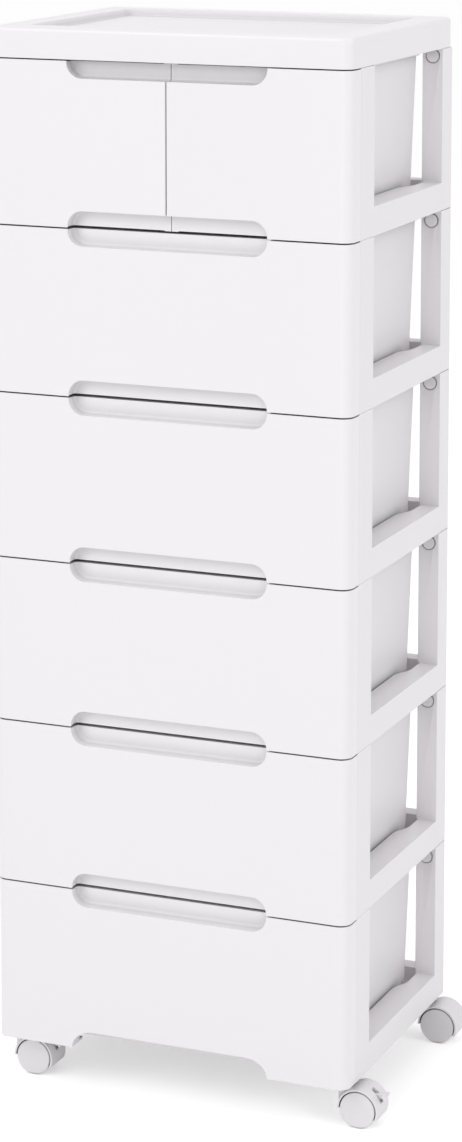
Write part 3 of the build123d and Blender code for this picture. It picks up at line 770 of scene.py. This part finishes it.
# ---- frames --------------------------------------------------------------------------------
@dataclass
class SideFrame:
    """Moulded side of one tier, with the round seat that its snap button sinks into."""

    node: str
    side: Side
    button_radius: float = 6.5
    button_drop: float = 10.0     # from the post's top to the button's middle
    button_proud: float = 0.9     # how far the button stands out of the post
    seat_gap: float = 1.1         # all round the button
    seat_depth: float = 2.0
    steps: int = 40
    edge_width: float = 0.4
    tier_height: float = 167.0
    seam_gap: float = 0.8         # shadow line under the rail, as solid
    seam_shown: float = 0.35      # as fine as it shows on the real tower, on average
    seam_lean: float = 0.25       # finer than that in front, wider behind
    notch: float = 3.0            # in the posts' inner walls, below their tops
    top_trim: float = 0.0         # what the cover's sides hide of the posts

    def close_seam(self, mesh: bpy.types.Mesh) -> None:
        """Draws the rail's lower face down to a hairline seam, and the posts' tops to the cover.

        Args:
            mesh: The frame's mesh, in place.
        """
        low, high = box_mm(self.node)
        top, base = high.z, high.z - self.tier_height
        for vertex in mesh.vertices:
            height = vertex.co.z / MM
            if abs(height - base - self.seam_gap) < LEVEL_MM:
                way = 2 * (vertex.co.y / MM - low.y) / (high.y - low.y) - 1
                vertex.co.z = (base + self.seam_shown + way * self.seam_lean) * MM
            elif height > top - self.notch - LEVEL_MM:
                vertex.co.z -= self.top_trim * MM

    def button_seat(self) -> bpy.types.Mesh:
        """Closed disc, a little wider than the button, that is cut into the rear post's front.

        Returns:
            The disc, in place.
        """
        low, high = box_mm("snap_buttons")
        x = high.x - self.button_radius if self.side is Side.RIGHT else low.x + self.button_radius
        face = low.y + self.button_proud
        top = box_mm(self.node)[1].z
        bm = bmesh.new()
        made = bmesh.ops.create_cone(bm, cap_ends=True, segments=self.steps,
                                     radius1=(self.button_radius + self.seat_gap) * MM,
                                     radius2=(self.button_radius + self.seat_gap) * MM,
                                     depth=2 * self.seat_depth * MM,
                                     matrix=Matrix.Rotation(math.radians(90), 4, "X"))["verts"]
        bmesh.ops.translate(bm, verts=made, vec=Vector((x, face, top - self.button_drop)) * MM)
        return as_mesh(bm, f"{self.node} button seat")

    def build(self, material: bpy.types.Material) -> bpy.types.Object:
        """Builds and places the frame.

        Args:
            material: Its finish.

        Returns:
            The finished piece.
        """
        plain = merged_copy(self.node)
        self.close_seam(plain)
        mesh = carve(plain, [self.button_seat()])
        piece = finish_piece(f"{self.node}_moulding", mesh, material, [self.node])
        soften(piece, self.edge_width, clamp=False)
        return piece


@dataclass
class Stack:
    """The fixed pieces: side frames, rails, the guide, and the buttons that lock the tiers."""

    tiers: int = 6
    rail_edge: float = 0.6
    button_edge: float = 0.4

    def build(self, frame_finish: bpy.types.Material, button_finish: bpy.types.Material,
              steel: bpy.types.Material) -> None:
        """Dresses every fixed piece but the cover.

        Args:
            frame_finish: Finish of frames and rails.
            button_finish: Finish of the buttons.
            steel: Finish of the caster stems.
        """
        for tier in range(1, self.tiers + 1):
            trim = TopCover.drop + SideFrame.seam_shown if tier == 1 else 0.0
            for side in Side:
                SideFrame(f"side_frame_{side.value}_{tier}", side,
                          top_trim=trim).build(frame_finish)
            for rail in (f"rear_rail_{tier}", f"front_rail_{tier}"):
                softened_copy(rail, frame_finish, self.rail_edge)
        softened_copy("drawer_guide", frame_finish, self.rail_edge)
        softened_copy("snap_buttons", button_finish, self.button_edge)
        dress_node("caster_stems", steel)


def dress_node(node: str, material: bpy.types.Material) -> None:
    """Gives a CAD node its finish and leaves its mesh alone.

    Args:
        node: The CAD node.
        material: Its finish.
    """
    piece = frame["nodes"][node]
    piece.data.materials.clear()
    piece.data.materials.append(material)
    LOG.info("%s is dressed as it is", node)


@dataclass
class Drawers:
    """Seven drawers: fronts and tubs."""

    tub_edge: float = 0.6
    rear_set_back: float = 5.0    # how much steeper than the solid the tub's rear wall stands
    names: tuple[str, ...] = ("1_left", "1_right", "2", "3", "4", "5", "6")
    arched: str = "6"

    def build(self, front: bpy.types.Material, tub: bpy.types.Material) -> None:
        """Builds every front and softens every tub.

        Args:
            front: Finish of the fronts.
            tub: Finish of the tubs.
        """
        for name in self.names:
            DrawerFront(f"drawer_front_{name}", has_arch=name == self.arched).build(front)
            piece = softened_copy(f"drawer_tub_{name}", tub, self.tub_edge)
            self.steepen(piece.data)

    def steepen(self, mesh: bpy.types.Mesh) -> None:
        """Moves the foot of a tub's rear wall back, in proportion to its depth below the rim.

        Args:
            mesh: The tub's mesh, in place.
        """
        low = min(v.co.z for v in mesh.vertices)
        high = max(v.co.z for v in mesh.vertices)
        middle = (min(v.co.y for v in mesh.vertices) + max(v.co.y for v in mesh.vertices)) / 2
        for vertex in mesh.vertices:
            if vertex.co.y > middle:
                vertex.co.y += self.rear_set_back * MM * (high - vertex.co.z) / (high - low)


# ---- studio --------------------------------------------------------------------------------
@dataclass
class SoftBox:
    """A square studio lamp, aimed at a point. Places and sizes are in metres."""

    name: str
    place: tuple[float, float, float]
    aim: tuple[float, float, float]
    size: float
    watts: float

    def build(self) -> None:
        """Adds the lamp."""
        data = bpy.data.lights.new(self.name, "AREA")
        data.size, data.energy = self.size, self.watts
        lamp = bpy.data.objects.new(self.name, data)
        bpy.context.scene.collection.objects.link(lamp)
        lamp.location = self.place
        way = Vector(self.aim) - Vector(self.place)
        lamp.rotation_euler = way.to_track_quat("-Z", "Y").to_euler()


def seen_rays(tree: bpy.types.NodeTree) -> bpy.types.NodeSocket:
    """Says which rays see the backdrop as it is: the camera's, and those of gloss and glass.

    Args:
        tree: The node tree.

    Returns:
        An output that is 1 for those rays.
    """
    ray = add_node(tree, "ShaderNodeLightPath")
    seen = ray.outputs["Is Camera Ray"]
    for kind in ("Is Glossy Ray", "Is Transmission Ray"):
        seen = add_node(tree, "ShaderNodeMath", {"operation": "MAXIMUM"},
                        links={0: seen, 1: ray.outputs[kind]}).outputs[0]
    return seen


@dataclass
class Studio:
    """Pale floor, even light and the camera of the photograph. Places are in metres."""

    camera_place: tuple[float, float, float] = (1.2522, -3.0122, 1.3225)
    camera_yaw: float = 22.703    # degrees from the front's normal
    camera_pitch: float = 8.139   # degrees below the horizon
    camera_lens: float = 103.81
    camera_shift: float = -0.29
    sensor: float = 36.0
    world_strength: float = 0.62
    floor_size: float = 60.0
    floor_colour: str = "#F8F8F8"
    floor_roughness: float = 0.9
    floor_lift: float = 0.40      # of the floor's own light, for the camera only
    far: float = 200.0            # how far the camera sees
    lamps: list[SoftBox] = field(default_factory=lambda: [
        SoftBox("front soft box", (-1.6, -3.4, 3.1), (0.0, 0.0, 0.55), 2.4, 49.0),
        SoftBox("side soft box", (3.8, -0.8, 2.6), (0.0, 0.0, 0.55), 2.4, 36.0),
        SoftBox("low fill", (0.4, -3.9, 0.8), (0.0, 0.0, 0.4), 1.6, 7.5),
        SoftBox("overhead", (0.2, 0.5, 4.4), (0.0, 0.0, 0.55), 2.0, 12.0),
    ])

    def build(self) -> None:
        """Adds the world, the floor, the lamps and the camera."""
        self.add_world()
        self.add_floor()
        for lamp in self.lamps:
            lamp.build()
        self.add_camera()
        bpy.context.scene.view_settings.view_transform = "Standard"

    def add_world(self) -> None:
        """Even white light all round, seen as plain white behind the tower."""
        world = bpy.data.worlds.new("studio")
        bpy.context.scene.world = world
        world.use_nodes = True
        tree = world.node_tree
        tree.nodes.clear()
        white = linear_colour("#FFFFFF")
        light = add_node(tree, "ShaderNodeBackground", None,
                         {"Color": white, "Strength": self.world_strength})
        backdrop = add_node(tree, "ShaderNodeBackground", None, {"Color": white, "Strength": 1.0})
        mix = add_node(tree, "ShaderNodeMixShader", links={
            0: seen_rays(tree), 1: light.outputs[0], 2: backdrop.outputs[0]})
        add_node(tree, "ShaderNodeOutputWorld", links={"Surface": mix.outputs[0]})

    def add_floor(self) -> None:
        """Painted floor that looks white and still takes the tower's shadow."""
        bm = bmesh.new()
        bmesh.ops.create_grid(bm, x_segments=1, y_segments=1, size=self.floor_size / 2)
        floor = bpy.data.objects.new("floor", as_mesh(bm, "floor"))
        bpy.context.scene.collection.objects.link(floor)
        material = bpy.data.materials.new("matt painted floor")
        material.use_nodes = True
        tree = material.node_tree
        shader = tree.nodes["Principled BSDF"]
        shader.inputs["Base Color"].default_value = linear_colour(self.floor_colour)
        shader.inputs["Roughness"].default_value = self.floor_roughness
        shader.inputs["Specular IOR Level"].default_value = 0.0
        shader.inputs["Emission Color"].default_value = linear_colour("#FFFFFF")
        lift = add_node(tree, "ShaderNodeMath", {"operation": "MULTIPLY"},
                        {1: self.floor_lift}, {0: seen_rays(tree)})
        tree.links.new(lift.outputs[0], shader.inputs["Emission Strength"])
        floor.data.materials.append(material)

    def add_camera(self) -> None:
        """Sets the camera where the photograph was taken from."""
        data = bpy.data.cameras.new("camera")
        data.lens = self.camera_lens
        data.sensor_width = self.sensor
        data.shift_y = self.camera_shift
        data.clip_end = self.far
        camera = bpy.data.objects.new("camera", data)
        bpy.context.scene.collection.objects.link(camera)
        camera.location = self.camera_place
        camera.rotation_euler = (math.radians(90 - self.camera_pitch), 0.0,
                                 math.radians(self.camera_yaw))
        bpy.context.scene.camera = camera


def main() -> None:
    """Builds the finishes, the sub-assemblies and the studio, in that order."""
    logging.basicConfig(level=logging.INFO, format="%(name)s: %(message)s")
    front, cover, satin = GLOSS_FRONT.make(), GLOSS_COVER.make(), SATIN_FRAME.make()
    tub, button, steel = MILKY_TUB.make(), BUTTON_CAP.make(), PLATED_STEEL.make()
    hood, wheel = NYLON_HOOD.make(), NYLON_WHEEL.make()
    Stack().build(satin, button, steel)
    TopCover().build(cover)
    Drawers().build(front, tub)
    for corner in ("front_left", "front_right", "rear_left", "rear_right"):
        TwinWheelCaster(corner).build(hood, wheel)
        dress_node(f"caster_axle_{corner}", steel)
    for side in Side:
        softened_copy(f"brake_lever_{side.value}", hood, LEVER_EDGE_MM)
    Studio().build()


if __name__ == "__main__":
    main()
